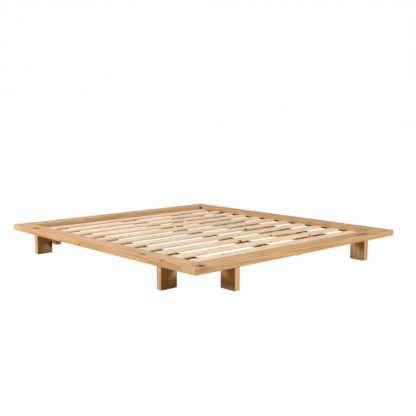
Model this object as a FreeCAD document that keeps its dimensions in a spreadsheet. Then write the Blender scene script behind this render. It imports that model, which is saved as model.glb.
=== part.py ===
# Slatted bed frame for a 1800 x 2000 mm mattress.
# Four oak boards lie flat and form the rim, eight oak plank legs stand under it, two deep
# side beams and one shallow centre beam run lengthwise, and eleven pine slats lie on the beams.
#
# Frame: millimetres, Z up, X across the bed, Y along it with the foot end at -Y.
# Origin: centre of the bed's outline, on the floor.
import FreeCAD, Part
import os
import re
import Sketcher

V = FreeCAD.Vector
doc = FreeCAD.newDocument("BedFrame")

# ---------------------------------------------------------------- driving dimensions
DIMENSIONS = [
    ("frame_width", 2080, "outer width of the rim"),
    ("frame_length", 2280, "outer length of the rim"),
    ("board_width", 130, "width of the rim boards and of the legs"),
    ("board_thick", 45, "thickness of every oak board"),
    ("edge_round", 3, "rounding of the oak edges"),
    ("leg_height", 148, "oak leg without its felt pad"),
    ("leg_set_foot", 323, "foot end to the near face of the left side leg by the foot"),
    ("leg_set_foot_right", 262, "the same for the right side leg"),
    ("leg_set_head", 356, "head end to the near face of the side legs by the head"),
    ("leg_set_left", 323, "left edge to the near face of the end legs on the left"),
    ("leg_set_right", 344, "right edge to the near face of the end legs on the right"),
    ("pad_length", 112, "felt pad under each leg"),
    ("pad_width", 33, ""),
    ("pad_thick", 3, ""),
    ("slat_width", 86, "pine slat"),
    ("slat_thick", 14, ""),
    ("slat_round", 2.5, "rounding of the slat edges"),
    ("slat_clear", 3, "gap between each slat end and the side rail"),
    ("slat_set_foot", 120, "foot rail to the first slat"),
    ("slat_pitch", 178, "spacing of the slats"),
    ("slat_count", 11, ""),
    ("side_beam_height", 80, "beams in line with the end legs"),
    ("beam_end_height", 38, "height left where a side beam meets its leg"),
    ("beam_snipe_length", 130, "length over which the beam's lower edge slopes up to that"),
    ("centre_beam_height", 30, ""),
    ("centre_beam_lap", 40, "length of centre beam under each end rail"),
    ("beam_round", 2, "rounding of the beam edges"),
    ("corner_dowel_dia", 12, "beech dowels between side and end rails"),
    ("corner_dowel_length", 80, ""),
    ("corner_dowel_spacing", 70, ""),
    ("beam_dowel_dia", 10, "beech dowels between beams and legs"),
    ("beam_dowel_length", 48, ""),
    ("beam_dowel_edge", 10, "top or bottom of the beam's end to the nearest dowel axis"),
    ("corner_plate_width", 80, "steel plate under each corner joint"),
    ("corner_plate_length", 160, ""),
    ("joint_plate_height", 30, "steel plate across each joint of beam and leg"),
    ("joint_plate_length", 120, ""),
    ("plate_thick", 3, ""),
    ("plate_round", 6, "corner radius of the plates"),
    ("plate_screw_dia", 5, "countersunk wood screw through the plates"),
    ("plate_screw_length", 30, ""),
    ("corner_screw_first", 15, "joint line to the screws of a corner plate"),
    ("corner_screw_second", 40, ""),
    ("corner_screw_third", 65, ""),
    ("joint_screw_first", 15, "joint line to the screws of a joint plate"),
    ("joint_screw_second", 45, ""),
    ("beam_screw_length", 50, "countersunk wood screw through the centre beam"),
    ("slat_screw_dia", 4, "countersunk wood screw through the slats"),
    ("slat_screw_length", 30, ""),
    ("slat_screw_spacing", 46, "between the two screws of a slat on one beam"),
    ("leg_bolt_dia", 8, "socket screw up through each leg"),
    ("leg_bolt_length", 120, ""),
    ("leg_bolt_spacing", 70, ""),
    ("leg_bolt_hole", 8.6, "clearance hole through the leg"),
    ("leg_bolt_head_dia", 13, ""),
    ("leg_bolt_head_height", 8, ""),
    ("leg_bolt_socket", 6, "hexagon socket across flats"),
    ("leg_counterbore_dia", 20, ""),
    ("leg_counterbore_depth", 50, ""),
    ("washer_dia", 18, ""),
    ("washer_hole", 8.4, ""),
    ("washer_thick", 1.6, ""),
    ("insert_nut_dia", 12, "threaded insert in the rail above each leg bolt"),
    ("insert_nut_length", 22, ""),
    ("insert_hole_depth", 26, ""),
]

sheet = doc.addObject("Spreadsheet::Sheet", "Sheet")
for row, (alias, value, note) in enumerate(DIMENSIONS, 1):
    sheet.set("A%d" % row, alias)
    sheet.set("B%d" % row, str(value))
    sheet.set("C%d" % row, note)
    sheet.setAlias("B%d" % row, alias)
doc.recompute()

NAMES = re.compile("|".join(sorted((d[0] for d in DIMENSIONS), key=len, reverse=True)))
pieces = []


def bind(target, prop, text):
    """Bind a property to an expression written with bare sheet aliases."""
    target.setExpression(prop, NAMES.sub(lambda found: "Sheet." + found.group(0), text))


def place(target, at, turn=0, prop="Placement"):
    """Put an object at three expressions, turned about the vertical."""
    if turn:
        setattr(target, prop, FreeCAD.Placement(V(0, 0, 0), FreeCAD.Rotation(V(0, 0, 1), turn)))
    for axis, text in zip("xyz", at):
        bind(target, "%s.Base.%s" % (prop, axis), text)


def piece(label, target):
    """Name a finished sub-part and list it for export."""
    target.Label = label
    pieces.append(target)
    return target


# ---------------------------------------------------------------- shared building blocks
def plane_of(body, role):
    return next(feature for feature in body.Origin.OriginFeatures if feature.Role == role)


def centred_rectangle(body, name, size_x, size_y):
    """Sketch on the body's XY plane: a rectangle about the origin."""
    sketch = body.newObject("Sketcher::SketchObject", name)
    sketch.AttachmentSupport = [(plane_of(body, "XY_Plane"), "")]
    sketch.MapMode = "FlatFace"
    corners = [V(-50, -50, 0), V(50, -50, 0), V(50, 50, 0), V(-50, 50, 0)]
    for start, end in zip(corners, corners[1:] + corners[:1]):
        sketch.addGeometry(Part.LineSegment(start, end), False)
    for side in range(4):
        sketch.addConstraint(Sketcher.Constraint("Coincident", side, 2, (side + 1) % 4, 1))
        direction = "Vertical" if side % 2 else "Horizontal"
        sketch.addConstraint(Sketcher.Constraint(direction, side))
    sketch.addConstraint(Sketcher.Constraint("Symmetric", 0, 1, 2, 1, -1, 1))
    for label, kind, side, text in (("size_x", "DistanceX", 0, size_x), ("size_y", "DistanceY", 1, size_y)):
        index = sketch.addConstraint(Sketcher.Constraint(kind, side, 1, side, 2, 100))
        sketch.renameConstraint(index, label)
        bind(sketch, "Constraints." + label, text)
    return sketch


def padded_body(name, size_x, size_y, size_z):
    """Body with one pad: a block standing on its XY plane, centred in X and Y."""
    body = doc.addObject("PartDesign::Body", name)
    sketch = centred_rectangle(body, name + "Outline", size_x, size_y)
    pad = body.newObject("PartDesign::Pad", name + "Pad")
    pad.Profile = sketch
    bind(pad, "Length", size_z)
    doc.recompute()
    return body, pad


def edges_where(shape, wanted):
    """Names of the edges whose end-to-end vector and middle pass a test."""
    names = []
    for number, edge in enumerate(shape.Edges, 1):
        run = edge.Vertexes[-1].Point - edge.Vertexes[0].Point
        if wanted(run, edge.CenterOfMass):
            names.append("Edge%d" % number)
    return names


def along(axis):
    """Edge test: straight along one axis."""
    return lambda run, middle: abs(getattr(run, axis)) > 0.99 * run.Length


def rounded(body, base, radius, edges=None):
    """Fillet the named edges of a body's last feature, or all of them."""
    fillet = body.newObject("PartDesign::Fillet", body.Name + "Rounding")
    fillet.Base = (base, edges or [])
    fillet.UseAllEdges = edges is None
    bind(fillet, "Radius", radius)
    return fillet


def cylinder(name, radius, length):
    """Plain round bar on the XY plane."""
    bar = doc.addObject("Part::Cylinder", name)
    bind(bar, "Radius", radius)
    bind(bar, "Height", length)
    return bar


def copies(name, master, places):
    """Compound of linked copies: each place is three expressions and an optional rotation."""
    links = []
    for number, (at, rotation) in enumerate(places, 1):
        link = doc.addObject("App::Link", "%s%d" % (name, number))
        link.LinkedObject = master
        link.LinkTransform = False
        link.Placement = FreeCAD.Placement(V(0, 0, 0), rotation)
        for axis, text in zip("xyz", at):
            bind(link, "Placement.Base." + axis, text)
        links.append(link)
    compound = doc.addObject("Part::Compound", name)
    compound.Links = links
    return compound


def drilled(name, body, drills):
    """Cut linked drill bars out of a body; drills is a list of (bar, places)."""
    bars = [copies("%sDrills%d" % (name, n), bar, places) for n, (bar, places) in enumerate(drills, 1)]
    result = body
    for number, bar in enumerate(bars, 1):
        cut = doc.addObject("Part::Cut", "%sDrilled%d" % (name, number))
        cut.Base = result
        cut.Tool = bar
        result = cut
    return result


UP = FreeCAD.Rotation()
DOWN = FreeCAD.Rotation(V(1, 0, 0), 180)
TO_HEAD = FreeCAD.Rotation(V(1, 0, 0), -90)
TO_FOOT = FreeCAD.Rotation(V(1, 0, 0), 90)
TO_RIGHT = FreeCAD.Rotation(V(0, 1, 0), 90)
TO_LEFT = FreeCAD.Rotation(V(0, 1, 0), -90)
HALF_TURN = FreeCAD.Rotation(V(0, 0, 1), 180)

# ---------------------------------------------------------------- places shared by several pieces
RIM_FLOOR = "(leg_height + pad_thick)"
SIDE_X = "((frame_width - board_width) / 2)"
END_Y = "((frame_length - board_width) / 2)"
SIDE_LENGTH = "(frame_length - 2 * board_width)"
INNER_WIDTH = "(frame_width - 2 * board_width)"
SIGN = {"left": "-", "right": "", "foot": "-", "head": ""}
SIDE_CENTRE = {"left": "-" + SIDE_X, "right": SIDE_X}
TURN_IN = {"foot": TO_HEAD, "head": TO_FOOT}
TURN_OUT = {"foot": TO_FOOT, "head": TO_HEAD}
LEFT_BEAM_X = "(leg_set_left + board_thick / 2 - frame_width / 2)"
RIGHT_BEAM_X = "(frame_width / 2 - leg_set_right - board_thick / 2)"
BEAM_X = {"left": LEFT_BEAM_X, "centre": "0", "right": RIGHT_BEAM_X}
HEAD_LEG_Y = "(frame_length / 2 - leg_set_head - board_thick / 2)"
SIDE_LEG_Y = {
    ("left", "foot"): "(leg_set_foot + board_thick / 2 - frame_length / 2)",
    ("right", "foot"): "(leg_set_foot_right + board_thick / 2 - frame_length / 2)",
    ("left", "head"): HEAD_LEG_Y,
    ("right", "head"): HEAD_LEG_Y,
}
BOLT_OFFSETS = ("-leg_bolt_spacing / 2", "leg_bolt_spacing / 2")
DOWEL_OFFSETS = ("-corner_dowel_spacing / 2", "corner_dowel_spacing / 2")
PLATE_SCREW_SIDE = ("-corner_plate_width / 4", "corner_plate_width / 4")
PLATE_SCREW_RUN = ("corner_screw_first", "corner_screw_second", "corner_screw_third")
JOINT_SCREW_RUN = ("joint_screw_first", "joint_screw_second")
BEAM_DOWEL_Z = (
    "(side_beam_height - beam_end_height + beam_dowel_edge)",
    "(side_beam_height - beam_dowel_edge)",
)
JOINT_Y = {end: "%s%s / 2" % (SIGN[end], SIDE_LENGTH) for end in ("foot", "head")}
BEAM_SCREW_X = ("-board_thick / 4", "board_thick / 4")
LAP_Y = {end: "%s(%s + centre_beam_lap) / 2" % (SIGN[end], SIDE_LENGTH) for end in ("foot", "head")}

# ---------------------------------------------------------------- drill bars
insert_drill = cylinder("InsertDrill", "insert_nut_dia / 2", "insert_hole_depth")
corner_dowel_drill = cylinder("CornerDowelDrill", "corner_dowel_dia / 2", "corner_dowel_length / 2")
beam_dowel_drill = cylinder("BeamDowelDrill", "beam_dowel_dia / 2", "beam_dowel_length / 2")

# wedge sawn off the underside of a side beam's end, so the beam stays out of sight below the rim
beam_snipe = doc.addObject("Part::Wedge", "BeamSnipe")
for face in ("Xmin", "X2min"):
    bind(beam_snipe, face, "-board_thick")
for face in ("Xmax", "X2max"):
    bind(beam_snipe, face, "board_thick")
beam_snipe.Ymin = 0
bind(beam_snipe, "Ymax", "beam_snipe_length")
beam_snipe.Zmin = -1
beam_snipe.Z2min = -1
bind(beam_snipe, "Zmax", "side_beam_height - beam_end_height")
beam_snipe.Z2max = 0


def wood_screw(name, dia, length):
    """Countersunk wood screw: head flush with z = 0, shank down the +Z axis to a point."""
    head = doc.addObject("Part::Cone", name + "Head")
    bind(head, "Radius1", dia)
    bind(head, "Radius2", "%s / 2" % dia)
    bind(head, "Height", "%s / 2" % dia)
    shank = cylinder(name + "Shank", "%s / 2" % dia, "%s - %s" % (length, dia))
    point = doc.addObject("Part::Cone", name + "Point")
    bind(point, "Radius1", "%s / 2" % dia)
    bind(point, "Radius2", "%s / 20" % dia)
    bind(point, "Height", dia)
    bind(point, "Placement.Base.z", "%s - %s" % (length, dia))
    screw = doc.addObject("Part::MultiFuse", name)
    screw.Shapes = [head, shank, point]
    return screw


plate_screw = wood_screw("PlateScrew", "plate_screw_dia", "plate_screw_length")
beam_screw = wood_screw("BeamScrew", "plate_screw_dia", "beam_screw_length")
slat_screw = wood_screw("SlatScrew", "slat_screw_dia", "slat_screw_length")


# ---------------------------------------------------------------- rim
def end_rail(end):
    """Full-width board across the foot or the head, holes in its own centred frame."""
    body, pad = padded_body(end + "Rail", "frame_width", "board_width", "board_thick")
    rounded(body, pad, "edge_round")
    inward = "" if end == "foot" else "-"
    inserts = [
        ((BEAM_X[side], offset, "0"), UP)
        for side in ("left", "right")
        for offset in BOLT_OFFSETS
    ]
    dowels = [
        (
            (SIDE_CENTRE[side] + " + " + offset, inward + "(board_width / 2)", "board_thick / 2"),
            TURN_OUT[end],
        )
        for side in ("left", "right")
        for offset in DOWEL_OFFSETS
    ]
    plate_screws = [
        (
            (
                SIDE_CENTRE[side] + " + " + across,
                "%s(board_width / 2 - %s)" % (inward, run),
                "-plate_thick",
            ),
            UP,
        )
        for side in ("left", "right")
        for across in PLATE_SCREW_SIDE
        for run in PLATE_SCREW_RUN
    ]
    beam_screws = [
        ((offset, inward + "(board_width - centre_beam_lap) / 2", "-centre_beam_height"), UP)
        for offset in BEAM_SCREW_X
    ]
    rail = drilled(
        end + "Rail",
        body,
        [
            (insert_drill, inserts),
            (corner_dowel_drill, dowels),
            (plate_screw, plate_screws),
            (beam_screw, beam_screws),
        ],
    )
    place(rail, ("0", SIGN[end] + END_Y, RIM_FLOOR))
    piece(end + "_rail", rail)


def side_rail(side):
    """Board between the end rails, long edges rounded, ends left square for the butt joints."""
    body, pad = padded_body(side + "Rail", "board_width", SIDE_LENGTH, "board_thick")
    rounded(body, pad, "edge_round", edges_where(pad.Shape, along("y")))
    inserts = [
        ((offset, SIDE_LEG_Y[side, end], "0"), UP)
        for end in ("foot", "head")
        for offset in BOLT_OFFSETS
    ]
    dowels = [
        ((offset, "%s%s / 2" % (SIGN[end], SIDE_LENGTH), "board_thick / 2"), TURN_IN[end])
        for end in ("foot", "head")
        for offset in DOWEL_OFFSETS
    ]
    plate_screws = [
        ((across, "%s(%s / 2 - %s)" % (SIGN[end], SIDE_LENGTH, run), "-plate_thick"), UP)
        for end in ("foot", "head")
        for across in PLATE_SCREW_SIDE
        for run in PLATE_SCREW_RUN
    ]
    rail = drilled(
        side + "Rail",
        body,
        [(insert_drill, inserts), (corner_dowel_drill, dowels), (plate_screw, plate_screws)],
    )
    place(rail, (SIGN[side] + SIDE_X, "0", RIM_FLOOR))
    piece(side + "_side_rail", rail)


for end in ("foot", "head"):
    end_rail(end)
for side in ("left", "right"):
    side_rail(side)


# ---------------------------------------------------------------- legs and their pads
def leg_body(name):
    """Plank leg in its own frame: broad along X, standing on z = 0, two counterbored bolt holes."""
    body, pad = padded_body(name, "board_width", "board_thick", "leg_height")
    below_top = edges_where(pad.Shape, lambda run, middle: middle.z < pad.Shape.BoundBox.ZMax - 1)
    rounding = rounded(body, pad, "edge_round", below_top)
    sketch = body.newObject("Sketcher::SketchObject", name + "HoleCentres")
    sketch.AttachmentSupport = [(plane_of(body, "XY_Plane"), "")]
    sketch.MapMode = "FlatFace"
    for x in (-35, 35):
        sketch.addGeometry(Part.Circle(V(x, 0, 0), V(0, 0, 1), 4), False)
        sketch.addConstraint(Sketcher.Constraint("Radius", len(sketch.Geometry) - 1, 4))
    sketch.addConstraint(Sketcher.Constraint("Symmetric", 0, 3, 1, 3, -1, 1))
    sketch.addConstraint(Sketcher.Constraint("PointOnObject", 1, 3, -1))
    index = sketch.addConstraint(Sketcher.Constraint("DistanceX", 0, 3, 1, 3, 70))
    sketch.renameConstraint(index, "spacing")
    bind(sketch, "Constraints.spacing", "leg_bolt_spacing")
    doc.recompute()
    before = rounding.Shape.Volume
    hole = body.newObject("PartDesign::Hole", name + "BoltHoles")
    hole.Profile = sketch
    doc.recompute()
    hole.DepthType = "ThroughAll"
    bind(hole, "Diameter", "leg_bolt_hole")
    hole.HoleCutType = "Counterbore"
    hole.HoleCutCustomValues = True
    bind(hole, "HoleCutDiameter", "leg_counterbore_dia")
    bind(hole, "HoleCutDepth", "leg_counterbore_depth")
    hole.Reversed = True
    doc.recompute()
    if before - hole.Shape.Volume < 30000:
        raise SystemExit(name + ": the bolt holes cut too little")
    return body


def beam_end_holes(name, body, end):
    """Holes in an end leg for the beam it meets: two dowels and two joint plate screws."""
    outward = SIGN["head"] if end == "foot" else SIGN["foot"]
    into_leg = TO_LEFT if end == "foot" else TO_RIGHT
    dowels = [
        ((outward + "board_width / 2", "0", "leg_height - side_beam_height + " + z), into_leg)
        for z in BEAM_DOWEL_Z
    ]
    screws = [
        (
            (
                "%s(board_width / 2 - %s)" % (outward, run),
                "-board_thick / 2 - plate_thick",
                "leg_height - beam_end_height / 2",
            ),
            TO_HEAD,
        )
        for run in JOINT_SCREW_RUN
    ]
    return drilled(name, body, [(beam_dowel_drill, dowels), (plate_screw, screws)])


def leg(label, at, turn):
    """One leg with its felt pad, at the middle of its footprint."""
    body = leg_body("Leg_" + label)
    if turn:
        body = beam_end_holes("Leg_" + label, body, label.split("_")[0])
    place(body, (at[0], at[1], "pad_thick"), turn)
    piece("leg_" + label, body)
    felt = doc.addObject("Part::Box", "Felt_" + label)
    bind(felt, "Length", "pad_width" if turn else "pad_length")
    bind(felt, "Width", "pad_length" if turn else "pad_width")
    bind(felt, "Height", "pad_thick")
    half = ("pad_width / 2", "pad_length / 2") if turn else ("pad_length / 2", "pad_width / 2")
    place(felt, ("%s - %s" % (at[0], half[0]), "%s - %s" % (at[1], half[1]), "0"))
    piece("felt_pad_" + label, felt)


LEGS = {}
for side in ("left", "right"):
    for end in ("foot", "head"):
        LEGS["%s_side_%s" % (side, end)] = ((SIGN[side] + SIDE_X, SIDE_LEG_Y[side, end]), 0)
for end in ("foot", "head"):
    for side in ("left", "right"):
        LEGS["%s_end_%s" % (end, side)] = ((BEAM_X[side], SIGN[end] + END_Y), 90)
for label, (at, turn) in LEGS.items():
    leg(label, at, turn)


# ---------------------------------------------------------------- beams
def beam(label, height, length, drills):
    """Lengthwise beam hung below the rim's underside, all four long edges rounded."""
    body, pad = padded_body(label.title().replace("_", ""), "board_thick", length, height)
    rounded(body, pad, "beam_round", edges_where(pad.Shape, along("y")))
    result = drilled(label.title().replace("_", ""), body, drills)
    x = BEAM_X[label.split("_")[0]]
    place(result, (x, "0", "%s - %s" % (RIM_FLOOR, height)))
    piece(label, result)


SLAT_Y = [
    "(slat_set_foot + board_width + slat_width / 2 - frame_length / 2 + %d * slat_pitch)" % number
    for number in range(int(sheet.slat_count))
]
SLAT_SCREW_OFFSETS = ("-slat_screw_spacing / 2", "slat_screw_spacing / 2")


def slat_screw_places(x, top):
    """Screws down through every slat on one beam."""
    return [((x, y + " + " + offset, top), DOWN) for y in SLAT_Y for offset in SLAT_SCREW_OFFSETS]


def side_beam(side):
    dowels = [
        (("0", "%s%s / 2" % (SIGN[end], SIDE_LENGTH), z), TURN_IN[end])
        for end in ("foot", "head")
        for z in BEAM_DOWEL_Z
    ]
    joint_screws = [
        (
            (
                "board_thick / 2 + plate_thick",
                "%s(%s / 2 - %s)" % (SIGN[end], SIDE_LENGTH, run),
                "side_beam_height - beam_end_height / 2",
            ),
            TO_LEFT,
        )
        for end in ("foot", "head")
        for run in JOINT_SCREW_RUN
    ]
    snipes = [
        (("0", "-%s / 2" % SIDE_LENGTH, "0"), UP),
        (("0", "%s / 2" % SIDE_LENGTH, "0"), HALF_TURN),
    ]
    drills = [
        (beam_snipe, snipes),
        (slat_screw, slat_screw_places("0", "side_beam_height + slat_thick")),
        (beam_dowel_drill, dowels),
        (plate_screw, joint_screws),
    ]
    beam(side + "_beam", "side_beam_height", SIDE_LENGTH, drills)


def centre_beam():
    rail_screws = [
        ((offset, LAP_Y[end], "0"), UP)
        for end in ("foot", "head")
        for offset in BEAM_SCREW_X
    ]
    drills = [
        (slat_screw, slat_screw_places("0", "centre_beam_height + slat_thick")),
        (beam_screw, rail_screws),
    ]
    beam("centre_beam", "centre_beam_height", "(%s + 2 * centre_beam_lap)" % SIDE_LENGTH, drills)


side_beam("left")
side_beam("right")
centre_beam()


# ---------------------------------------------------------------- slats
def slat(number):
    """Pine slat across the bed, screwed twice to each beam."""
    name = "Slat%02d" % number
    body, pad = padded_body(name, "%s - 2 * slat_clear" % INNER_WIDTH, "slat_width", "slat_thick")
    rounded(body, pad, "slat_round")
    screws = [
        ((x, offset, "slat_thick"), DOWN)
        for x in BEAM_X.values()
        for offset in SLAT_SCREW_OFFSETS
    ]
    result = drilled(name, body, [(slat_screw, screws)])
    place(result, ("0", SLAT_Y[number - 1], RIM_FLOOR))
    piece("slat_%02d" % number, result)


for number in range(1, int(sheet.slat_count) + 1):
    slat(number)


# ---------------------------------------------------------------- steel plates
def steel_plate(name, size_x, size_y, holes):
    """Flat plate with rounded corners and countersunk holes, screwed on from below."""
    body, pad = padded_body(name, size_x, size_y, "plate_thick")
    rounded(body, pad, "plate_round", edges_where(pad.Shape, along("z")))
    return drilled(name, body, [(plate_screw, [((x, y, "0"), UP) for x, y in holes])])


def signed(values):
    return ["-" + value for value in values] + list(values)


for side in ("left", "right"):
    for end in ("foot", "head"):
        corner = "%s_%s" % (side, end)
        holes = [(across, run) for across in PLATE_SCREW_SIDE for run in signed(PLATE_SCREW_RUN)]
        plate = steel_plate("CornerPlate_" + corner, "corner_plate_width", "corner_plate_length", holes)
        y = "%s%s / 2" % (SIGN[end], SIDE_LENGTH)
        place(plate, (SIGN[side] + SIDE_X, y, RIM_FLOOR + " - plate_thick"))
        piece("corner_plate_" + corner, plate)

for side in ("left", "right"):
    for end in ("foot", "head"):
        joint = "%s_%s" % (side, end)
        holes = [("0", run) for run in signed(JOINT_SCREW_RUN)]
        plate = steel_plate("JointPlate_" + joint, "joint_plate_height", "joint_plate_length", holes)
        plate.Placement = FreeCAD.Placement(V(0, 0, 0), TO_LEFT)
        bind(plate, "Placement.Base.x", BEAM_X[side] + " + board_thick / 2 + plate_thick")
        bind(plate, "Placement.Base.y", "%s%s / 2" % (SIGN[end], SIDE_LENGTH))
        bind(plate, "Placement.Base.z", RIM_FLOOR + " - beam_end_height / 2")
        piece("joint_plate_" + joint, plate)


# ---------------------------------------------------------------- dowels and screws
def dowel(name, dia, length):
    """Dowel centred on its own origin along Z, both ends chamfered by a tenth of its diameter."""
    body = doc.addObject("PartDesign::Body", name)
    sketch = body.newObject("Sketcher::SketchObject", name + "Section")
    sketch.AttachmentSupport = [(plane_of(body, "XY_Plane"), "")]
    sketch.MapMode = "FlatFace"
    sketch.addGeometry(Part.Circle(V(0, 0, 0), V(0, 0, 1), 5), False)
    sketch.addConstraint(Sketcher.Constraint("Coincident", 0, 3, -1, 1))
    index = sketch.addConstraint(Sketcher.Constraint("Diameter", 0, 10))
    sketch.renameConstraint(index, "dia")
    bind(sketch, "Constraints.dia", dia)
    pad = body.newObject("PartDesign::Pad", name + "Pad")
    pad.Profile = sketch
    pad.SideType = "Symmetric"
    bind(pad, "Length", length)
    doc.recompute()
    chamfer = body.newObject("PartDesign::Chamfer", name + "Ends")
    rims = [number for number, edge in enumerate(pad.Shape.Edges, 1) if edge.isClosed()]
    chamfer.Base = (pad, ["Edge%d" % number for number in rims])
    bind(chamfer, "Size", "%s / 10" % dia)
    return body


corner_dowel = dowel("CornerDowel", "corner_dowel_dia", "corner_dowel_length")
beam_dowel = dowel("BeamDowel", "beam_dowel_dia", "beam_dowel_length")

piece(
    "corner_dowels",
    copies(
        "CornerDowels",
        corner_dowel,
        [
            ((SIDE_CENTRE[side] + " + " + offset, JOINT_Y[end], RIM_FLOOR + " + board_thick / 2"), TO_HEAD)
            for side in ("left", "right")
            for end in ("foot", "head")
            for offset in DOWEL_OFFSETS
        ],
    ),
)
piece(
    "beam_dowels",
    copies(
        "BeamDowels",
        beam_dowel,
        [
            ((BEAM_X[side], JOINT_Y[end], "%s - side_beam_height + %s" % (RIM_FLOOR, z)), TO_HEAD)
            for side in ("left", "right")
            for end in ("foot", "head")
            for z in BEAM_DOWEL_Z
        ],
    ),
)
piece(
    "corner_plate_screws",
    copies(
        "CornerPlateScrews",
        plate_screw,
        [
            (
                (
                    SIDE_CENTRE[side] + " + " + across,
                    JOINT_Y[end] + " + " + run,
                    RIM_FLOOR + " - plate_thick",
                ),
                UP,
            )
            for side in ("left", "right")
            for end in ("foot", "head")
            for across in PLATE_SCREW_SIDE
            for run in signed(PLATE_SCREW_RUN)
        ],
    ),
)
piece(
    "joint_plate_screws",
    copies(
        "JointPlateScrews",
        plate_screw,
        [
            (
                (
                    BEAM_X[side] + " + board_thick / 2 + plate_thick",
                    "%s + %s" % (JOINT_Y[end], run),
                    RIM_FLOOR + " - beam_end_height / 2",
                ),
                TO_LEFT,
            )
            for side in ("left", "right")
            for end in ("foot", "head")
            for run in signed(JOINT_SCREW_RUN)
        ],
    ),
)
piece(
    "centre_beam_screws",
    copies(
        "CentreBeamScrews",
        beam_screw,
        [
            ((offset, LAP_Y[end], RIM_FLOOR + " - centre_beam_height"), UP)
            for end in ("foot", "head")
            for offset in BEAM_SCREW_X
        ],
    ),
)
for side in ("left", "centre", "right"):
    screws = copies(
        "SlatScrews_" + side, slat_screw, slat_screw_places(BEAM_X[side], RIM_FLOOR + " + slat_thick")
    )
    piece("slat_screws_" + side, screws)


# ---------------------------------------------------------------- leg bolts, washers and insert nuts
def socket_bolt():
    """Socket screw: underside of the head at z = 0, shank up to the thread's end."""
    shank = cylinder("BoltShank", "leg_bolt_dia / 2", "leg_bolt_length")
    head = cylinder("BoltHead", "leg_bolt_head_dia / 2", "leg_bolt_head_height")
    bind(head, "Placement.Base.z", "-leg_bolt_head_height")
    socket = doc.addObject("Part::Prism", "BoltSocket")
    socket.Polygon = 6
    bind(socket, "Circumradius", "leg_bolt_socket / sqrt(3)")
    bind(socket, "Height", "leg_bolt_head_height / 2")
    bind(socket, "Placement.Base.z", "-leg_bolt_head_height")
    solid = doc.addObject("Part::Fuse", "BoltSolid")
    solid.Base = shank
    solid.Tool = head
    bolt = doc.addObject("Part::Cut", "LegBolt")
    bolt.Base = solid
    bolt.Tool = socket
    return bolt


def tube(name, outer, inner, length):
    """Round bar with a through bore."""
    bar = cylinder(name + "Bar", outer, length)
    bore = cylinder(name + "Bore", inner, length)
    ring = doc.addObject("Part::Cut", name)
    ring.Base = bar
    ring.Tool = bore
    return ring


BOLT_SEAT = "(pad_thick + leg_counterbore_depth)"
bolt_places = []
for (x, y), turn in LEGS.values():
    for offset in BOLT_OFFSETS:
        bolt_places.append((x, "%s + %s" % (y, offset)) if turn else ("%s + %s" % (x, offset), y))
piece(
    "leg_bolts",
    copies(
        "LegBolts", socket_bolt(), [((x, y, BOLT_SEAT + " - washer_thick"), UP) for x, y in bolt_places]
    ),
)
piece(
    "leg_bolt_washers",
    copies(
        "LegBoltWashers",
        tube("Washer", "washer_dia / 2", "washer_hole / 2", "washer_thick"),
        [((x, y, BOLT_SEAT + " - washer_thick"), UP) for x, y in bolt_places],
    ),
)
piece(
    "leg_insert_nuts",
    copies(
        "LegInsertNuts",
        tube("InsertNut", "insert_nut_dia / 2", "leg_bolt_dia / 2", "insert_nut_length"),
        [((x, y, RIM_FLOOR), UP) for x, y in bolt_places],
    ),
)

# ---------------------------------------------------------------- check and export
doc.recompute()
for thing in doc.Objects:
    if "Invalid" in thing.State or "Error" in thing.State:
        raise SystemExit("%s failed: %s" % (thing.Name, thing.State))
for part in pieces:
    if part.Shape.isNull() or not part.Shape.isValid() or not part.Shape.Solids:
        raise SystemExit("%s has no valid solid" % part.Label)

os.makedirs("parts", exist_ok=True)
for part in pieces:
    part.Shape.exportStep("parts/%s.step" % part.Label)
    box = part.Shape.BoundBox
    print(
        "%-26s %3d solid(s) x %8.1f %8.1f  y %8.1f %8.1f  z %7.1f %7.1f"
        % (part.Label, len(part.Shape.Solids), box.XMin, box.XMax, box.YMin, box.YMax, box.ZMin, box.ZMax)
    )
print("%d nodes" % len(pieces))
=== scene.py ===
import bpy
import math
import random
from mathutils import Euler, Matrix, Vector


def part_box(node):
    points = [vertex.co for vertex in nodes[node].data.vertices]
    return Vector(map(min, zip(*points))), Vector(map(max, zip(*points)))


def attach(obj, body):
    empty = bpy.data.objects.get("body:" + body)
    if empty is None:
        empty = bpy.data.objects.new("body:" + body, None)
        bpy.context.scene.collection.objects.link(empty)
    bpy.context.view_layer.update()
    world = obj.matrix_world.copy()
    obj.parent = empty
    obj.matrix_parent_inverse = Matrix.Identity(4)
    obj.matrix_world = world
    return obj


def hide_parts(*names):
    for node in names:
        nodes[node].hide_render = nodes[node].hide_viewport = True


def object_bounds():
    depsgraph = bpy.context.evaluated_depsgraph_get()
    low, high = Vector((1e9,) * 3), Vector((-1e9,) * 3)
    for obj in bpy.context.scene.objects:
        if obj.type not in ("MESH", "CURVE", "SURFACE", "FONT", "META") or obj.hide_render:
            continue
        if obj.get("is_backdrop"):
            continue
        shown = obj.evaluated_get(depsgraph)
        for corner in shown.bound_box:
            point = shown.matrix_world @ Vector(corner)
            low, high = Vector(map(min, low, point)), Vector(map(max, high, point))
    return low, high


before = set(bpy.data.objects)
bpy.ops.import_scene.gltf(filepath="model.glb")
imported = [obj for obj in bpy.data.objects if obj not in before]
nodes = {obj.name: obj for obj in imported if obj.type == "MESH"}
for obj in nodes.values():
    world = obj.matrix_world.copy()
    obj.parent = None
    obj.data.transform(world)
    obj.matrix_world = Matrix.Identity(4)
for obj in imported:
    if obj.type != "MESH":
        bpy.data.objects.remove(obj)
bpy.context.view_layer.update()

print("frame loaded,", len(nodes), "nodes")


# camera, about a metre up, off the foot-left corner
shot = {
    "place": (-3.605, -4.052, 1.057),
    "heading": 42.45,    # degrees from +Y towards +X
    "dip": 7.42,         # degrees below level
    "lens": 58.8,
    "sensor": 36.0,
}

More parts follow.
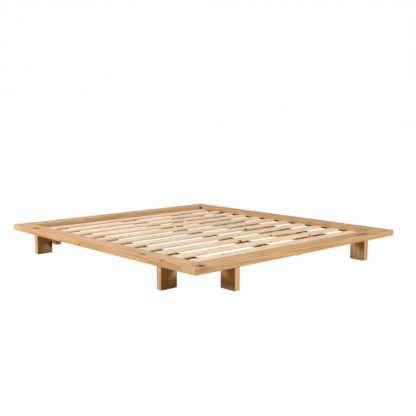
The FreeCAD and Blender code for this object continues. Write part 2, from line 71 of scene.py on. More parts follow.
cameraData = bpy.data.cameras.new("camera")
cameraData.lens = shot["lens"]
cameraData.sensor_width = shot["sensor"]
cameraData.clip_start = 0.05
cameraData.clip_end = 200.0
camera = bpy.data.objects.new("camera", cameraData)
camera.location = shot["place"]
camera.rotation_euler = Euler((math.radians(90 - shot["dip"]), 0, -math.radians(shot["heading"])))
bpy.context.scene.collection.objects.link(camera)
bpy.context.scene.camera = camera


# studio: white sweep, dim warm room, windows on the left and past the foot, a soft box over the head
studio = {
    "sky": 0.23,            # how much the room lights the bed
    "skyTint": (1.0, 0.86, 0.62),
    "windowTint": (0.98, 0.99, 1.06),
    "windows": {
        "left window": {
            "place": (-5.3, 1.8, 2.4), "aim": (-0.9, 0.2, 0.15), "size": (3.4, 1.3), "watts": 325.0},
        "foot window": {
            "place": (1.3, -6.1, 3.1), "aim": (-0.2, -1.0, 0.15), "size": (1.9, 1.3), "watts": 380.0},
        "head soft box": {
            "place": (1.1, 3.4, 3.4), "aim": (0.5, 0.9, 0.15), "size": (3.0, 1.6), "watts": 85.0},
    },
    "floorSize": 60.0,
    "floorBounce": (0.36, 0.25, 0.125),
    "floorGlow": 0.96,      # how far the sweep is washed out to white
    "floorWhite": 1.06,
}

scene = bpy.context.scene
scene.view_settings.view_transform = "Standard"
scene.view_settings.look = "None"


def feed(tree, socket, value):
    if isinstance(value, bpy.types.NodeSocket):
        tree.links.new(value, socket)
    else:
        socket.default_value = value


def maths(tree, operation, first, second=0.0):
    node = tree.nodes.new("ShaderNodeMath")
    node.operation = operation
    feed(tree, node.inputs[0], first)
    feed(tree, node.inputs[1], second)
    return node.outputs[0]


def vectorMaths(tree, operation, first, second=(0.0, 0.0, 0.0)):
    node = tree.nodes.new("ShaderNodeVectorMath")
    node.operation = operation
    feed(tree, node.inputs[0], first)
    feed(tree, node.inputs[1], second)
    return node.outputs["Value"] if operation in ("LENGTH", "DOT_PRODUCT") else node.outputs["Vector"]


def noise(tree, place, stretch, detail=2.0, rough=0.5, colour=False):
    node = tree.nodes.new("ShaderNodeTexNoise")
    feed(tree, node.inputs["Vector"], vectorMaths(tree, "MULTIPLY", place, stretch))
    node.inputs["Scale"].default_value = 1.0
    node.inputs["Detail"].default_value = detail
    node.inputs["Roughness"].default_value = rough
    return node.outputs["Color"] if colour else node.outputs[0]


def remap(tree, value, low, high, toLow=0.0, toHigh=1.0):
    node = tree.nodes.new("ShaderNodeMapRange")
    node.interpolation_type = "SMOOTHSTEP"
    for socket, given in zip(node.inputs, (value, low, high, toLow, toHigh)):
        feed(tree, socket, given)
    return node.outputs[0]


def ramp(tree, value, stops):
    node = tree.nodes.new("ShaderNodeValToRGB")
    feed(tree, node.inputs[0], value)
    band = node.color_ramp
    while len(band.elements) < len(stops):
        band.elements.new(0.5)
    for element, (where, colour) in zip(band.elements, stops):
        element.position = where
        element.color = (*colour, 1.0)
    return node.outputs[0]


def mixColour(tree, factor, first, second):
    node = tree.nodes.new("ShaderNodeMix")
    node.data_type = "RGBA"
    feed(tree, node.inputs[0], factor)
    for socket, value in ((node.inputs[6], first), (node.inputs[7], second)):
        feed(tree, socket, value if isinstance(value, bpy.types.NodeSocket) else (*value, 1.0))
    return node.outputs[2]


def bump(tree, height, strength, depth):
    node = tree.nodes.new("ShaderNodeBump")
    node.inputs["Strength"].default_value = strength
    node.inputs["Distance"].default_value = depth
    feed(tree, node.inputs["Height"], height)
    return node.outputs[0]


def newFinish(name):
    finish = bpy.data.materials.new(name)
    finish.use_nodes = True
    tree = finish.node_tree
    tree.nodes.clear()
    output = tree.nodes.new("ShaderNodeOutputMaterial")
    shader = tree.nodes.new("ShaderNodeBsdfPrincipled")
    tree.links.new(shader.outputs[0], output.inputs["Surface"])
    place = tree.nodes.new("ShaderNodeTexCoord").outputs["Object"]
    return finish, tree, shader, place


def litStudio():
    world = bpy.data.worlds.new("white room")
    scene.world = world
    world.use_nodes = True
    tree = world.node_tree
    tree.nodes.clear()
    seen = tree.nodes.new("ShaderNodeLightPath").outputs["Is Camera Ray"]
    sky = tree.nodes.new("ShaderNodeBackground")
    feed(tree, sky.inputs["Color"], mixColour(tree, seen, studio["skyTint"], (1.0, 1.0, 1.0)))
    feed(tree, sky.inputs["Strength"], remap(tree, seen, 0.0, 1.0, studio["sky"], 1.0))
    output = tree.nodes.new("ShaderNodeOutputWorld")
    tree.links.new(sky.outputs[0], output.inputs[0])

    bpy.ops.object.select_all(action="DESELECT")
    bpy.ops.mesh.primitive_plane_add(size=studio["floorSize"], location=(0, 0, 0))
    floor = bpy.context.object
    floor.name = "floor"
    finish, tree, shader = newFinish("white sweep")[:3]
    shader.inputs["Base Color"].default_value = (*studio["floorBounce"], 1.0)
    shader.inputs["Roughness"].default_value = 0.9
    shader.inputs["Specular IOR Level"].default_value = 0.0
    glow = tree.nodes.new("ShaderNodeEmission")
    glow.inputs["Strength"].default_value = studio["floorWhite"]
    wash = tree.nodes.new("ShaderNodeMixShader")
    seen = tree.nodes.new("ShaderNodeLightPath").outputs["Is Camera Ray"]
    feed(tree, wash.inputs[0], maths(tree, "MULTIPLY", seen, studio["floorGlow"]))
    tree.links.new(shader.outputs[0], wash.inputs[1])
    tree.links.new(glow.outputs[0], wash.inputs[2])
    tree.links.new(wash.outputs[0], tree.nodes["Material Output"].inputs["Surface"])
    floor.data.materials.append(finish)
    floor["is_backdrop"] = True

    for name, window in studio["windows"].items():
        lamp = bpy.data.lights.new(name, "AREA")
        lamp.shape = "RECTANGLE"
        lamp.size, lamp.size_y = window["size"]
        lamp.energy = window["watts"]
        lamp.color = studio["windowTint"]
        light = bpy.data.objects.new(name, lamp)
        light.location = window["place"]
        towards = Vector(window["place"]) - Vector(window["aim"])
        light.rotation_euler = towards.to_track_quat("Z", "Y").to_euler()
        scene.collection.objects.link(light)


litStudio()
print("studio lit")


# ---- wood
# a board's own coordinates run with the grain along X, the heart of the tree at Y = Z = 0
boardTurn = {
    "x": (0.0, 0.0, 0.0),
    "y": (0.0, 0.0, -math.pi / 2),
    "z": (0.0, math.pi / 2, 0.0),
}
boardAlong = {"x": (1, 0, 0), "y": (0, 1, 0), "z": (0, 0, 1)}

grown = {
    "trunkWander": 0.075,       # metres the trunk strays over half a metre
    "curl": 0.007,              # metres the grain curls over a few centimetres
    "knotPull": 0.011,          # metres a knot pushes the rings out
    "yearNoise": (55.0, 3.2),   # how often, and by how many rings, the years differ
}

oak = {
    "light": (0.690, 0.455, 0.235),
    "middle": (0.595, 0.370, 0.176),
    "dark": (0.440, 0.240, 0.096),
    "warm": (0.60, 0.330, 0.128),       # redder clouds in the heartwood
    "ringGap": 0.0042,
    "ringDepth": 0.30,
    "poreDepth": 0.55,
    "streakSpread": (0.29, 0.71),
    "cloudDepth": 0.28,
    "arris": (0.40, 0.195, 0.065),      # painted shade: darker along the eased edges, where the rounded arris turns away from the light
    "arrisShadeDepth": 0.45,
    "endGrain": (0.71, 0.485, 0.258),
    "knotHeart": (0.010, 0.007, 0.006),
    "knotWood": (0.17, 0.070, 0.026),
    "knotHalo": (0.41, 0.200, 0.078),
    "rough": 0.46,
    "heartDepth": (0.07, 0.16),         # how deep under the board the heart lay
    "bump": 0.35,
}

pine = {
    "light": (0.835, 0.692, 0.490),
    "middle": (0.770, 0.606, 0.408),
    "dark": (0.640, 0.440, 0.258),
    "warm": (0.760, 0.575, 0.350),
    "ringGap": 0.0050,
    "ringDepth": 0.38,
    "poreDepth": 0.05,
    "streakSpread": (0.33, 0.61),
    "cloudDepth": 0.40,
    # painted shade along the eased edges
    "arris": (0.66, 0.46, 0.28),
    "arrisShadeDepth": 0.25,
    "endGrain": (0.70, 0.50, 0.31),
    "knotHeart": (0.10, 0.040, 0.018),
    "knotWood": (0.34, 0.155, 0.062),
    "knotHalo": (0.60, 0.365, 0.185),
    "rough": 0.58,
    "heartDepth": (0.05, 0.11),
    "bump": 0.30,
}

beamPine = dict(pine)
beamPine.update({
    "light": (0.62, 0.430, 0.245),
    "middle": (0.55, 0.365, 0.195),
    "dark": (0.42, 0.255, 0.125),
    "warm": (0.55, 0.34, 0.165),
    # painted shade along the eased edges
    "arris": (0.42, 0.25, 0.12),
    "endGrain": (0.52, 0.34, 0.19),
})

# the same for every wood
woodWork = {
    "toneSpread": (0.95, 1.05),     # from board to board
    "skew": (0.012, 0.02),          # radians the grain runs off the board's line
    "ringTone": 0.88,               # late wood, over the dark colour
    "fleckTone": 0.72,
    "poreTone": 0.55,
    "sawnDepth": 0.55,              # how far a sawn end turns to the end grain's colour
    "haloDepth": 0.75,
    "edgeWide": (0.0012, 0.0046),   # metres from the arris, full and gone
    "edgeRagged": 0.0022,
    "shine": 0.25,
    "relief": 0.0006,               # metres
}

beech = dict(oak)
beech.update({
    "light": (0.72, 0.50, 0.33),
    "middle": (0.66, 0.44, 0.28),
    "dark": (0.58, 0.36, 0.21),
    "warm": (0.66, 0.41, 0.25),
    "ringDepth": 0.12,
    "poreDepth": 0.35,
})


def newGroup(name, inputs, outputs):
    tree = bpy.data.node_groups.new(name, "ShaderNodeTree")
    for word, kind in inputs:
        tree.interface.new_socket(word, in_out="INPUT", socket_type="NodeSocket" + kind)
    for word in outputs:
        tree.interface.new_socket(word, in_out="OUTPUT", socket_type="NodeSocketFloat")
    given = tree.nodes.new("NodeGroupInput").outputs
    made = tree.nodes.new("NodeGroupOutput").inputs
    return tree, given, made


def useGroup(tree, group, **values):
    node = tree.nodes.new("ShaderNodeGroup")
    node.node_tree = group
    for word, value in values.items():
        feed(tree, node.inputs[word], value)
    return node.outputs


def makeGrain():
    tree, given, made = newGroup(
        "board grain",
        [("Place", "Vector"), ("Pull", "Float"), ("RingGap", "Float")],
        ["Rings", "Streaks", "Pores", "Cloud", "Flecks"])
    place = given["Place"]
    # the trunk wanders over half a metre, and the grain curls over a few centimetres
    moved = place
    for stretch, detail, reach in (
            ((0.8, 2.2, 2.2), 1.0, grown["trunkWander"]),
            ((4.5, 16, 16), 2.0, grown["curl"])):
        stray = vectorMaths(tree, "SUBTRACT", noise(tree, place, stretch, detail, colour=True), (0.5, 0.5, 0.5))
        moved = vectorMaths(tree, "ADD", moved, vectorMaths(tree, "MULTIPLY", stray, (0, reach, reach)))
    radius = vectorMaths(tree, "LENGTH", vectorMaths(tree, "MULTIPLY", moved, (0, 1, 1)))
    radius = maths(tree, "ADD", radius, maths(tree, "MULTIPLY", given["Pull"], grown["knotPull"]))
    # good and bad years
    years = tree.nodes.new("ShaderNodeTexNoise")
    years.noise_dimensions = "1D"
    often, reach = grown["yearNoise"]
    feed(tree, years.inputs["W"], maths(tree, "MULTIPLY", radius, often))
    years.inputs["Scale"].default_value = 1.0
    years.inputs["Detail"].default_value = 1.0
    count = maths(tree, "DIVIDE", radius, given["RingGap"])
    count = maths(tree, "ADD", count, maths(tree, "MULTIPLY", years.outputs[0], reach))
    # early wood, fading through the summer, and a short start to the next ring
    part = maths(tree, "FRACT", count)
    fade = remap(tree, part, 0.10, 0.62, 1.0, 0.0)
    start = remap(tree, part, 0.90, 1.0, 0.0, 1.0)
    rings = maths(tree, "MAXIMUM", fade, start)
    feed(tree, made["Rings"], rings)
    streaks = noise(tree, moved, (2.6, 70, 70), 4.0, 0.66)
    feed(tree, made["Streaks"], streaks)
    pores = remap(tree, noise(tree, moved, (42, 820, 820), 1.0), 0.58, 0.70)
    feed(tree, made["Pores"], maths(tree, "MULTIPLY", pores, remap(tree, rings, 0.0, 1.0, 0.3, 1.0)))
    feed(tree, made["Cloud"], noise(tree, moved, (2.2, 12, 12), 3.0, 0.55))
    feed(tree, made["Flecks"], remap(tree, noise(tree, moved, (9, 150, 150), 2.0, 0.6), 0.62, 0.76))
    return tree


def makeKnot():
    tree, given, made = newGroup(
        "knot",
        [("Place", "Vector"), ("Ragged", "Float"), ("Centre", "Vector"), ("Size", "Vector"),
         ("Black", "Float")],
        ["Heart", "Core", "Halo", "Pull"])
    apart = vectorMaths(tree, "SUBTRACT", given["Place"], given["Centre"])
    far = vectorMaths(tree, "LENGTH", vectorMaths(tree, "DIVIDE", apart, given["Size"]))
    uneven = maths(tree, "MULTIPLY", maths(tree, "SUBTRACT", given["Ragged"], 0.5), 0.9)
    far = maths(tree, "ADD", far, uneven)
    # each part fades out between two distances, in half sizes of the knot
    for word, full, gone in (("Core", 1.0, 1.45), ("Halo", 1.1, 3.0), ("Pull", 0.0, 4.2)):
        feed(tree, made[word], remap(tree, far, full, gone, 1.0, 0.0))
    heart = remap(tree, far, 0.62, 0.98, 1.0, 0.0)
    feed(tree, made["Heart"], maths(tree, "MULTIPLY", heart, given["Black"]))
    return tree


def makeArris():
    # distance from the nearest long edge of a board, in metres
    tree, given, made = newGroup(
        "arris", [("Place", "Vector"), ("Low", "Vector"), ("High", "Vector")], ["Gap"])
    inside = vectorMaths(
        tree, "MINIMUM",
        vectorMaths(tree, "SUBTRACT", given["Place"], given["Low"]),
        vectorMaths(tree, "SUBTRACT", given["High"], given["Place"]))
    split = tree.nodes.new("ShaderNodeSeparateXYZ")
    feed(tree, split.inputs[0], inside)
    x, y, z = split.outputs
    gap = maths(
        tree, "MINIMUM",
        maths(tree, "MINIMUM", maths(tree, "MAXIMUM", x, y), maths(tree, "MAXIMUM", y, z)),
        maths(tree, "MAXIMUM", x, z))
    feed(tree, made["Gap"], gap)
    return tree


grain, knot, arris = makeGrain(), makeKnot(), makeArris()


def shade(colour, tone):
    return tuple(min(1.0, part * tone) for part in colour)


def woodFinish(name, wood, low, high, axis, seed, knots=()):
    pick = random.Random(seed)
    finish, tree, shader, place = newFinish(name)
    tone = pick.uniform(*woodWork["toneSpread"])

    # knots first, because the rings bend round them
    ragged = noise(tree, place, (140, 140, 140), 2.0)
    marks = {"Heart": 0.0, "Core": 0.0, "Halo": 0.0, "Pull": 0.0}
    for centre, size, black in knots:
        spot = useGroup(tree, knot, Place=place, Ragged=ragged, Centre=centre, Size=size, Black=black)
        for word in marks:
            marks[word] = maths(tree, "MAXIMUM", marks[word], spot[word])

    skew = Euler((0.0, *(pick.uniform(-most, most) for most in woodWork["skew"])))
    turn = (skew.to_matrix() @ Euler(boardTurn[axis]).to_matrix()).to_euler()
    middle = (Vector(low) + Vector(high)) / 2
    # each board comes from another stretch of trunk
    along, aside = pick.uniform(-9, 9), pick.uniform(-0.02, 0.02)
    heart = Vector((along, aside, pick.choice((-1, 1)) * pick.uniform(*wood["heartDepth"])))
    mapping = tree.nodes.new("ShaderNodeMapping")
    mapping.inputs["Rotation"].default_value = turn
    mapping.inputs["Location"].default_value = heart - turn.to_matrix() @ middle
    feed(tree, mapping.inputs["Vector"], place)
    lines = useGroup(tree, grain, Place=mapping.outputs[0], Pull=marks["Pull"], RingGap=wood["ringGap"])

    colour = ramp(tree, remap(tree, lines["Streaks"], *wood["streakSpread"]), [
        (0.0, shade(wood["dark"], tone)),
        (0.48, shade(wood["middle"], tone)),
        (1.0, shade(wood["light"], tone)),
    ])
    cloudy = maths(tree, "MULTIPLY", remap(tree, lines["Cloud"], 0.42, 0.68), wood["cloudDepth"])
    colour = mixColour(tree, cloudy, colour, shade(wood["warm"], tone))
    ringed = maths(tree, "MULTIPLY", lines["Rings"], wood["ringDepth"])
    colour = mixColour(tree, ringed, colour, shade(wood["dark"], tone * woodWork["ringTone"]))
    flecked = maths(tree, "MULTIPLY", lines["Flecks"], wood["poreDepth"])
    colour = mixColour(tree, flecked, colour, shade(wood["dark"], woodWork["fleckTone"]))
    pored = maths(tree, "MULTIPLY", lines["Pores"], wood["poreDepth"])
    colour = mixColour(tree, pored, colour, shade(wood["dark"], woodWork["poreTone"]))

    # sawn ends take the oil differently
    normal = tree.nodes["Texture Coordinate"].outputs["Normal"]
    facing = vectorMaths(tree, "DOT_PRODUCT", normal, boardAlong[axis])
    sawn = remap(tree, maths(tree, "ABSOLUTE", facing), 0.6, 0.95)
    sawn = maths(tree, "MULTIPLY", sawn, woodWork["sawnDepth"])
    colour = mixColour(tree, sawn, colour, wood["endGrain"])

    # painted shade: the colour darkens to the wood's arris colour along the eased edges, where the rounded
    # arris turns away from the light; the same edge band also lowers the roughness below
    gap = useGroup(tree, arris, Place=place, Low=low, High=high)["Gap"]
    gap = maths(tree, "ADD", gap, maths(tree, "MULTIPLY", ragged, woodWork["edgeRagged"]))
    edge = remap(tree, gap, *woodWork["edgeWide"], 1.0, 0.0)
    colour = mixColour(tree, maths(tree, "MULTIPLY", edge, wood["arrisShadeDepth"]), colour, wood["arris"])

    if knots:
        halo = maths(tree, "MULTIPLY", marks["Halo"], woodWork["haloDepth"])
        colour = mixColour(tree, halo, colour, wood["knotHalo"])
        colour = mixColour(tree, marks["Core"], colour, wood["knotWood"])
        colour = mixColour(tree, marks["Heart"], colour, wood["knotHeart"])
    feed(tree, shader.inputs["Base Color"], colour)

    # late wood duller, arrises rubbed, pores and knot hearts sunk
    rough = maths(tree, "ADD", maths(tree, "MULTIPLY", lines["Rings"], 0.10), wood["rough"])
    rough = maths(tree, "ADD", rough, maths(tree, "MULTIPLY", lines["Cloud"], 0.10))
    rough = maths(tree, "SUBTRACT", rough, maths(tree, "MULTIPLY", edge, 0.08))
    feed(tree, shader.inputs["Roughness"], rough)
    height = maths(tree, "MULTIPLY", lines["Pores"], -0.55)
    height = maths(tree, "SUBTRACT", height, maths(tree, "MULTIPLY", lines["Rings"], 0.30))
    height = maths(tree, "SUBTRACT", height, maths(tree, "MULTIPLY", marks["Heart"], 0.9))
    feed(tree, shader.inputs["Normal"], bump(tree, height, wood["bump"], woodWork["relief"]))
    shader.inputs["Specular IOR Level"].default_value = woodWork["shine"]
    return finish


def dress(name, finish):
    slots = nodes[name].data.materials
    slots.clear()
    slots.append(finish)


# each rail's grain direction, seed and knots: centre and half size in metres, and how black the heart is
oakBoards = {
    "foot_rail": ("x", 3, [
        ((-0.968, -1.105, 0.196), (0.0205, 0.0225, 0.030), 1.0),
        ((0.650, -1.092, 0.196), (0.0400, 0.0100, 0.020), 0.10),
        ((0.705, -1.100, 0.196), (0.0220, 0.0110, 0.020), 0.45),
    ]),
    "head_rail": ("x", 8, [
        ((0.420, 1.060, 0.196), (0.0110, 0.0070, 0.030), 0.5),
        ((-0.610, 1.112, 0.196), (0.0090, 0.0060, 0.020), 0.4),
    ]),
    "left_side_rail": ("y", 5, [
        ((-1.000, 0.831, 0.196), (0.0165, 0.0240, 0.025), 1.0),
        ((-1.008, -0.585, 0.196), (0.0110, 0.0200, 0.025), 0.40),
        ((-1.040, 0.120, 0.166), (0.0080, 0.0060, 0.004), 0.05),
        ((-1.032, -0.820, 0.196), (0.0060, 0.0140, 0.012), 0.20),
    ]),
    "right_side_rail": ("y", 12, [
        ((1.033, -0.064, 0.196), (0.0080, 0.0160, 0.025), 0.8),
        ((0.910, 0.990, 0.178), (0.0200, 0.0140, 0.010), 0.9),
        ((0.960, 0.420, 0.196), (0.0060, 0.0100, 0.025), 0.4),
    ]),
}


firstSeed = {"legs": 30, "slats": 60, "beams": 90, "dowels": 100}


def dressBoard(name, kind, wood, axis, seed, knots=()):
    low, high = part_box(name)
    dress(name, woodFinish(kind + " " + name.replace("_", " "), wood, low, high, axis, seed, knots))


for name, (axis, seed, knots) in oakBoards.items():
    dressBoard(name, "oiled oak", oak, axis, seed, knots)

legKnots = {
    "leg_left_side_head": [((-0.924, 0.739, 0.067), (0.0145, 0.025, 0.0200), 1.0)],
    "leg_right_side_foot": [((1.040, -0.860, 0.100), (0.020, 0.006, 0.009), 0.5)],
}
legWords = ("leg_foot_end", "leg_head_end", "leg_left_side", "leg_right_side")
legNames = sorted(name for name in nodes if name.startswith(legWords))
for count, name in enumerate(legNames):
    dressBoard(name, "oiled oak", oak, "z", firstSeed["legs"] + count, legKnots.get(name, ()))
print("oak rim and legs finished")


# slat number: places along the slat, across it from its foot-side edge, and the knot's half length, metres
slatKnots = {
    1: [(0.18, 0.052, 0.007), (-0.52, 0.060, 0.007)],
    2: [(0.49, 0.083, 0.010), (0.53, 0.004, 0.008), (-0.33, 0.030, 0.006)],
    3: [(-0.06, 0.004, 0.011), (0.77, 0.080, 0.009), (-0.19, 0.078, 0.010), (0.28, 0.004, 0.009)],
    4: [(-0.76, 0.077, 0.009), (0.10, 0.022, 0.006)],
    5: [(0.36, 0.004, 0.011), (-0.40, 0.050, 0.007)],
    6: [(0.30, 0.010, 0.011), (0.03, 0.080, 0.010)],
    7: [(0.77, 0.080, 0.010), (0.27, 0.046, 0.008), (0.03, 0.068, 0.008), (0.39, 0.080, 0.010)],
    8: [(0.76, 0.080, 0.010), (-0.27, 0.080, 0.010)],
    9: [(0.74, 0.078, 0.011), (0.57, 0.072, 0.010), (0.21, 0.076, 0.010), (-0.03, 0.070, 0.009)],
    10: [(-0.45, 0.030, 0.008), (0.35, 0.060, 0.008)],
    11: [(0.12, 0.050, 0.008), (-0.62, 0.020, 0.007)],
}
slatKnot = {"wide": 0.62, "deep": 0.022, "black": 0.8}
slatNames = {number: "slat_%02d" % number for number in slatKnots}
for number, knots in slatKnots.items():
    low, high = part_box(slatNames[number])
    spots = [
        ((x, low[1] + across, high[2]), (half, half * slatKnot["wide"], slatKnot["deep"]), slatKnot["black"])
        for x, across, half in knots]
    dressBoard(slatNames[number], "pine", pine, "x", firstSeed["slats"] + number, spots)

beamNames = {"left": "left_beam", "centre": "centre_beam", "right": "right_beam"}
for count, name in enumerate(beamNames.values()):
    dressBoard(name, "beam pine", beamPine, "y", firstSeed["beams"] + count)
print("pine slats and beams finished")

for count, (name, axis) in enumerate({"corner_dowels": "x", "beam_dowels": "y"}.items()):
    dressBoard(name, "beech", beech, axis, firstSeed["dowels"] + count)


# ---- metal and felt
zinc = {"colour": (0.60, 0.61, 0.62), "stain": (0.42, 0.42, 0.41), "rough": 0.34}
plate = {"colour": (0.52, 0.52, 0.52), "stain": (0.33, 0.32, 0.31), "rough": 0.42}
brass = {"colour": (0.72, 0.52, 0.22), "stain": (0.45, 0.30, 0.12), "rough": 0.36}
padFelt = {"light": (0.34, 0.31, 0.28), "dark": (0.15, 0.135, 0.12)}
# near-black colours for the strips between the slats: painted shade, standing in for the deep shade there
shadeTapeFelt = {"light": (0.042, 0.020, 0.008), "dark": (0.014, 0.007, 0.003)}


def metalFinish(name, metal, stretch):
    finish, tree, shader, place = newFinish(name)
    shader.inputs["Metallic"].default_value = 1.0
    cloud = noise(tree, place, (60, 60, 60), 3.0, 0.6)
    lines = noise(tree, place, stretch, 2.0, 0.6)
    colour = mixColour(tree, remap(tree, cloud, 0.35, 0.70), metal["colour"], metal["stain"])
    feed(tree, shader.inputs["Base Color"], colour)
    rough = maths(tree, "ADD", maths(tree, "MULTIPLY", lines, 0.22), metal["rough"])
    feed(tree, shader.inputs["Roughness"], rough)
    feed(tree, shader.inputs["Normal"], bump(tree, lines, 0.20, 0.0002))
    return finish


def feltFinish(name, felt):
    finish, tree, shader, place = newFinish(name)
    fibres = noise(tree, place, (900, 900, 900), 4.0, 0.7)
    clumps = noise(tree, place, (130, 130, 130), 2.0)
    both = maths(tree, "ADD", maths(tree, "MULTIPLY", fibres, 0.7), maths(tree, "MULTIPLY", clumps, 0.3))
    colour = ramp(tree, remap(tree, both, 0.32, 0.68), [(0.0, felt["dark"]), (1.0, felt["light"])])
    feed(tree, shader.inputs["Base Color"], colour)
    shader.inputs["Roughness"].default_value = 0.95
    shader.inputs["Specular IOR Level"].default_value = 0.15
    feed(tree, shader.inputs["Normal"], bump(tree, fibres, 0.6, 0.0006))
    return finish


zincFinish = metalFinish("zinc plate", zinc, (400, 400, 400))
steelFinish = metalFinish("rolled steel", plate, (30, 700, 700))
brassFinish = metalFinish("turned brass", brass, (500, 500, 60))
feltPadFinish = feltFinish("grey felt", padFelt)

for name in nodes:
    if name == "leg_insert_nuts":
        dress(name, brassFinish)
    elif "bolt" in name or "plate_screws" in name or name == "centre_beam_screws":
        dress(name, zincFinish)
    elif name.startswith(("corner_plate", "joint_plate")):
        dress(name, steelFinish)


# ---- modelled pieces
def pickFaces(mesh, wanted):
    bpy.ops.object.mode_set(mode="OBJECT")
    for vertex in mesh.vertices:
        vertex.select = False
    for edge in mesh.edges:
        edge.select = False
    for face in mesh.polygons:
        face.select = wanted(face)
    bpy.ops.object.mode_set(mode="EDIT")


def startPiece():
    if bpy.context.object and bpy.context.object.mode == "EDIT":
        bpy.ops.object.mode_set(mode="OBJECT")
    bpy.ops.object.select_all(action="DESELECT")


def pickPieces(*pieces):
    startPiece()
    for piece in pieces:
        piece.select_set(True)
    bpy.context.view_layer.objects.active = pieces[0]


def bakePlace(piece):
    pickPieces(piece)
    bpy.ops.object.transform_apply(location=True, rotation=True, scale=True)


def joinPieces(pieces, name):
    pickPieces(*pieces)
    bpy.ops.object.transform_apply(location=True, rotation=True, scale=True)
    bpy.ops.object.join()
    joined = bpy.context.object
    joined.name = name
    joined.data.name = name
    return joined


def makeBlock(middle, size):
    startPiece()
    bpy.ops.mesh.primitive_cube_add(size=1, location=middle)
    block = bpy.context.object
    block.dimensions = size
    bakePlace(block)
    return block


def softenEdges(piece, width, segments):
    soften = piece.modifiers.new("soft edge", "BEVEL")
    soften.width = width
    soften.segments = segments
    soften.limit_method = "ANGLE"
    bpy.ops.object.modifier_apply(modifier=soften.name)


def rideRoot(piece, finish, slotName, *stands):
    piece.data.materials.clear()
    piece.data.materials.append(finish)
    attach(piece, "root")
    if stands:
        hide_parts(*stands)


screw = {
    "dia": 0.004,            # the head is twice as wide
    "length": 0.030,
    "sides": 12,
    "rim": 0.00025,          # thin straight edge round the head
    "shank": 0.46,           # its width over the head's
    "headDeep": 0.5,         # these four are parts of the shank's diameter
    "neckLong": 0.6,
    "pointLong": 0.9,
    "plainLong": 2.2,        # what the thread leaves free
    "point": 0.12,           # blunt tip over the shank
    "turns": 5,
    "threadDeep": 1.22,      # crest over root
    "slotWide": 0.22,        # cross recess, parts of the head's diameter
    "slotLong": 0.62,
    "slotDeep": 0.30,
    "slotTaper": 0.45,       # its floor over its mouth
}


def makeScrew(name):
    # head up at z = 0, point down, grown ring by ring from the head's face
    dia = screw["dia"]
    startPiece()
    bpy.ops.mesh.primitive_circle_add(
        vertices=screw["sides"], radius=dia, fill_type="NGON", location=(0, 0, 0))
    piece = bpy.context.object
    piece.name = name
    bpy.ops.object.mode_set(mode="EDIT")
    bpy.ops.mesh.select_all(action="SELECT")
    pitch = (screw["length"] - dia * screw["plainLong"]) / screw["turns"]
    crest = screw["threadDeep"]
    steps = [(screw["rim"], 1.0), (dia * screw["headDeep"], screw["shank"]), (dia * screw["neckLong"], 1.0)]
    for turn in range(screw["turns"]):
        steps += [(pitch * 0.5, crest), (pitch * 0.5, 1 / crest)]
    steps += [(dia * screw["pointLong"], screw["point"])]
    for drop, scale in steps:
        bpy.ops.mesh.extrude_region_move(TRANSFORM_OT_translate={"value": (0, 0, -drop)})
        bpy.ops.transform.resize(value=(scale, scale, 1))
    bpy.ops.mesh.select_all(action="SELECT")
    bpy.ops.mesh.normals_make_consistent(inside=False)
    bpy.ops.object.mode_set(mode="OBJECT")

    # cross recess, cut with two crossed bars that narrow downwards, half of each above the head
    bars = []
    head = dia * 2
    wide, long, deep = screw["slotWide"] * head, screw["slotLong"] * head, screw["slotDeep"] * head * 2
    for size in ((wide, long, deep), (long, wide, deep)):
        bar = makeBlock((0, 0, 0), size)
        bpy.ops.object.mode_set(mode="EDIT")
        pickFaces(bar.data, lambda face: face.normal.z < -0.9)
        bpy.ops.transform.resize(value=(screw["slotTaper"], screw["slotTaper"], 1))
        bpy.ops.object.mode_set(mode="OBJECT")
        bars.append(bar)
    for bar in bars:
        pickPieces(piece)
        cut = piece.modifiers.new("recess", "BOOLEAN")
        cut.operation = "DIFFERENCE"
        cut.object = bar
        cut.solver = "EXACT"
        bpy.ops.object.modifier_apply(modifier=cut.name)
        bpy.data.objects.remove(bar)
    return piece


def spread(master, name, places):
    # one copy of the master at every (place, turn), joined into one piece
    copies = []
    for place, turn in places:
        piece = master.copy()
        piece.data = master.data.copy()
        piece.location = place
        piece.rotation_euler = turn
        scene.collection.objects.link(piece)
        copies.append(piece)
    joined = joinPieces(copies, name)
    bpy.ops.object.shade_smooth_by_angle(angle=math.radians(35))
    return joined


screwsApart = 0.046
slatScrew = makeScrew("slat screw")
for side, beamName in beamNames.items():
    beamLow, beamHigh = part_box(beamName)
    x = (beamLow[0] + beamHigh[0]) / 2
    places = []
    for number, slatName in slatNames.items():
        slatLow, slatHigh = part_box(slatName)
        y = (slatLow[1] + slatHigh[1]) / 2
        for half in (-0.5, 0.5):
            # the recesses stop wherever the driver left them
            turn = (0, 0, math.radians((number * 37 + half * 50) % 90))
            places.append(((x, y + half * screwsApart, slatHigh[2]), turn))
    group = "slat_screws_" + side
    rideRoot(spread(slatScrew, group + "_cut", places), zincFinish, "zinc_steel", group)
bpy.data.objects.remove(slatScrew)
print("screws modelled")


pad = {
    "wear": 0.0011,         # how far the glued face is drawn in at its edges
    "soften": 0.0009,
    "cuts": 6,
}


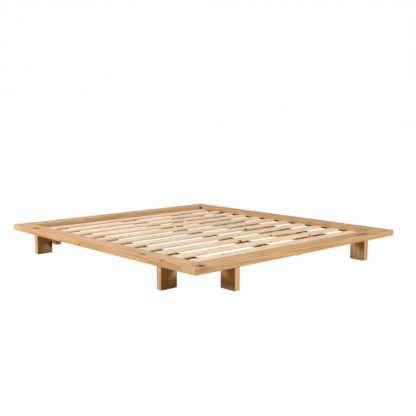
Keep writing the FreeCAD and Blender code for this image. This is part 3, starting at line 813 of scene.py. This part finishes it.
def makePad(name):
    low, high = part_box(name)
    middle = (Vector(low) + Vector(high)) / 2
    size = Vector(high) - Vector(low)
    piece = makeBlock(middle, size)
    piece.name = name + "_soft"
    bpy.ops.object.mode_set(mode="EDIT")
    bpy.ops.mesh.select_all(action="SELECT")
    bpy.ops.mesh.subdivide(number_cuts=pad["cuts"])
    bpy.ops.object.mode_set(mode="OBJECT")
    softenEdges(piece, pad["soften"], 3)
    # glued face drawn in a little, worn edge uneven
    pick = random.Random(len(name) * 7 + int(abs(middle.x) * 1000))
    for vertex in piece.data.vertices:
        out = Vector(((vertex.co.x - middle.x) / size.x, (vertex.co.y - middle.y) / size.y, 0)) * 2
        lift = (vertex.co.z - low[2]) / size.z
        if max(abs(out.x), abs(out.y)) > 0.9:
            pull = pad["wear"] * (0.3 + 0.7 * lift) * pick.uniform(0.6, 1.0)
            vertex.co.x -= pull * round(out.x) * 0.5
            vertex.co.y -= pull * round(out.y) * 0.5
    bpy.ops.object.shade_smooth_by_angle(angle=math.radians(40))
    return piece


padNames = [name for name in nodes if name.startswith("felt_pad")]
for name in padNames:
    rideRoot(makePad(name), feltPadFinish, "felt", name)
print("felt pads modelled")


# near-black strips with a felt finish on the beams and the side rails, between the slats: painted shade,
# standing in for the deep shade seen down the gaps
tape = {
    "thick": 0.0012,
    "inset": 0.0012,        # from the beam's edges
    "clear": 0.0010,        # from each slat
    "round": 0.0005,
    "below": 0.0020,        # on the rails, under the slats' tops
}


def gapsBetweenSlats():
    stops = [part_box("foot_rail")[1][1]]
    for slatName in slatNames.values():
        low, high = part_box(slatName)
        stops += [low[1], high[1]]
    stops.append(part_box("head_rail")[0][1])
    return [(start + tape["clear"], end - tape["clear"]) for start, end in zip(stops[0::2], stops[1::2])]


def makeShadeTape(name, across, up):
    strips = []
    for start, end in gapsBetweenSlats():
        middle = (sum(across) / 2, (start + end) / 2, sum(up) / 2)
        strip = makeBlock(middle, (across[1] - across[0], end - start, up[1] - up[0]))
        softenEdges(strip, tape["round"], 2)
        strips.append(strip)
    return joinPieces(strips, name)


# finish of the strips between the slats: near-black painted shade
shadeTapeFinish = feltFinish("black felt tape", shadeTapeFelt)
shadeTapeRuns = {}
for beamName in beamNames.values():
    low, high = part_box(beamName)
    across = low[0] + tape["inset"], high[0] - tape["inset"]
    shadeTapeRuns[beamName + "_felt_tape"] = (across, (high[2], high[2] + tape["thick"]))
slatLow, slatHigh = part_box(slatNames[1])
railUp = slatLow[2], slatHigh[2] - tape["below"]
leftInside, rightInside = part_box("left_side_rail")[1][0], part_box("right_side_rail")[0][0]
shadeTapeRuns["left_side_felt_tape"] = ((leftInside, leftInside + tape["thick"]), railUp)
shadeTapeRuns["right_side_felt_tape"] = ((rightInside - tape["thick"], rightInside), railUp)
for name, (across, up) in shadeTapeRuns.items():
    rideRoot(makeShadeTape(name, across, up), shadeTapeFinish, "felt")
print("shade tape laid")


low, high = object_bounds()
